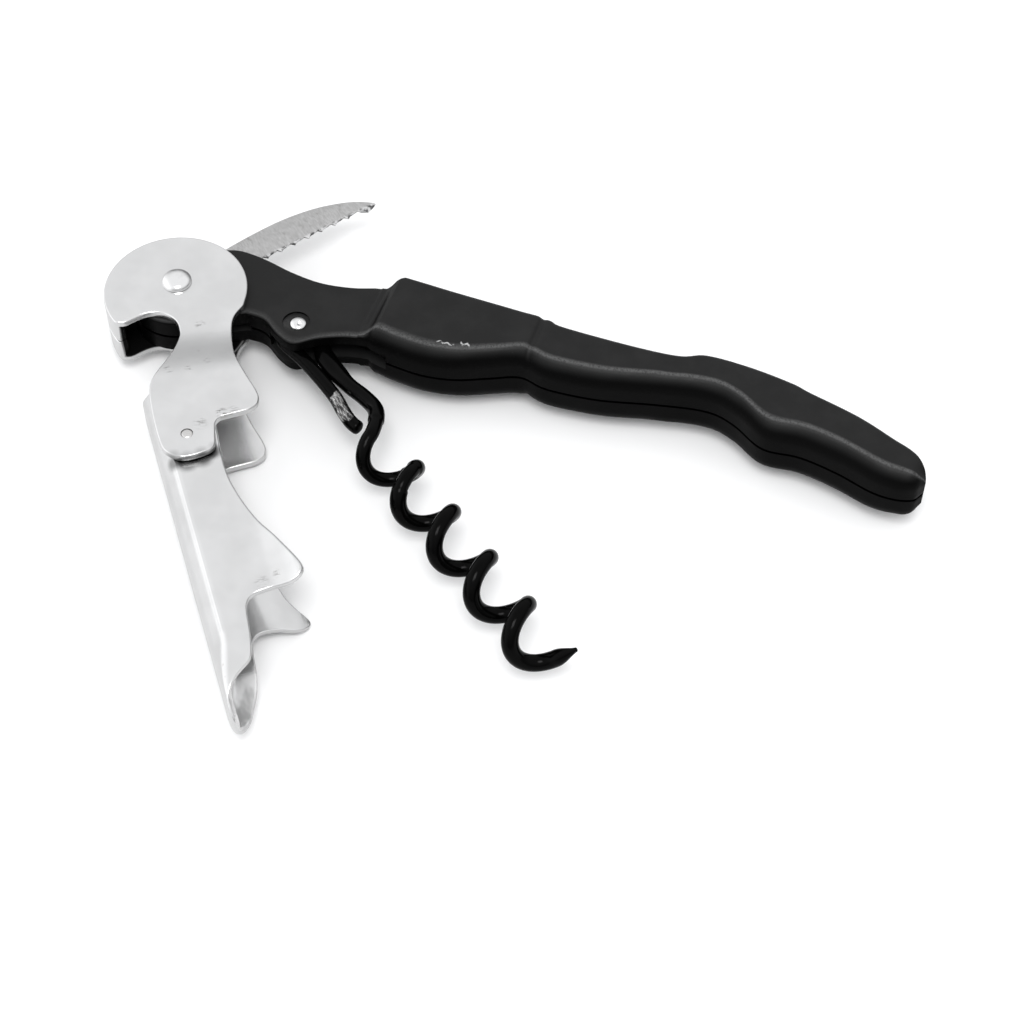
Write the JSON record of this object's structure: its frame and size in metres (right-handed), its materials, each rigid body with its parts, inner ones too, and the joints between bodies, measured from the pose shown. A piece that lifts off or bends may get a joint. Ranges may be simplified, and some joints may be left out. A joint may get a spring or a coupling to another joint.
{
  "type": "waiters corkscrew",
  "caption": "Folding waiters corkscrew with a two-step lever, coated helical worm, cap hook, serrated foil knife and a black finger-grip handle.",
  "frame": {"origin": "on the main pivot axis, on the flat foot of the main rivet's lower head", "axes": "+X along the handle from the main pivot to its rounded end, +Z along the pivot axes through the thickness, worm and levers on the -Y side"},
  "size_m": [0.1239, 0.0957, 0.0145],
  "materials": {
    "black_grip": "satin black, rims worn slightly shiny",
    "nickel_plate": "bright nickel plate on stamped steel, finely scratched",
    "rivet_steel": "polished",
    "pin_steel": "ground flush",
    "blade_steel": "satin with grinding marks",
    "coated_wire": "gloss black non-stick coating on steel wire"
  },
  "bodies": {
    "handle": {"handle_upper_shell": "black_grip", "handle_lower_shell": "black_grip", "shell_dowel_front": "pin_steel", "shell_dowel_rear": "pin_steel", "main_rivet": "rivet_steel", "worm_pin": "rivet_steel"},
    "first_lever": {"first_lever_upper_plate": "nickel_plate", "first_lever_lower_plate": "nickel_plate", "lever_joint_pin": "pin_steel"},
    "second_lever": {"second_lever_channel": "nickel_plate"},
    "knife": {"knife_blade": "blade_steel"},
    "worm": {"worm": "coated_wire"}
  },
  "joints": [
    {"name": "first_lever_hinge", "type": "hinge", "parent": "handle", "child": "first_lever", "pos_m": [0, 0, 0.00565], "axis": [0, 0, 1], "range_deg": [-72, 44]},
    {"name": "second_lever_hinge", "type": "hinge", "parent": "first_lever", "child": "second_lever", "pos_m": [0.01407, -0.02762, 0.00565], "axis": [0, 0, 1], "range_deg": [-25, 0]},
    {"name": "worm_hinge", "type": "hinge", "parent": "handle", "child": "worm", "pos_m": [0.0196, -0.0007, 0.00565], "axis": [0, 0, 1], "range_deg": [-39, 24]},
    {"name": "knife_hinge", "type": "hinge", "parent": "handle", "child": "knife", "pos_m": [0, 0, 0.00565], "axis": [0, 0, 1], "range_deg": [-43, 15]}
  ],
  "couplings": [
    {"joint": "worm_hinge", "follows": "first_lever_hinge", "ratio": 0.54}
  ]
}
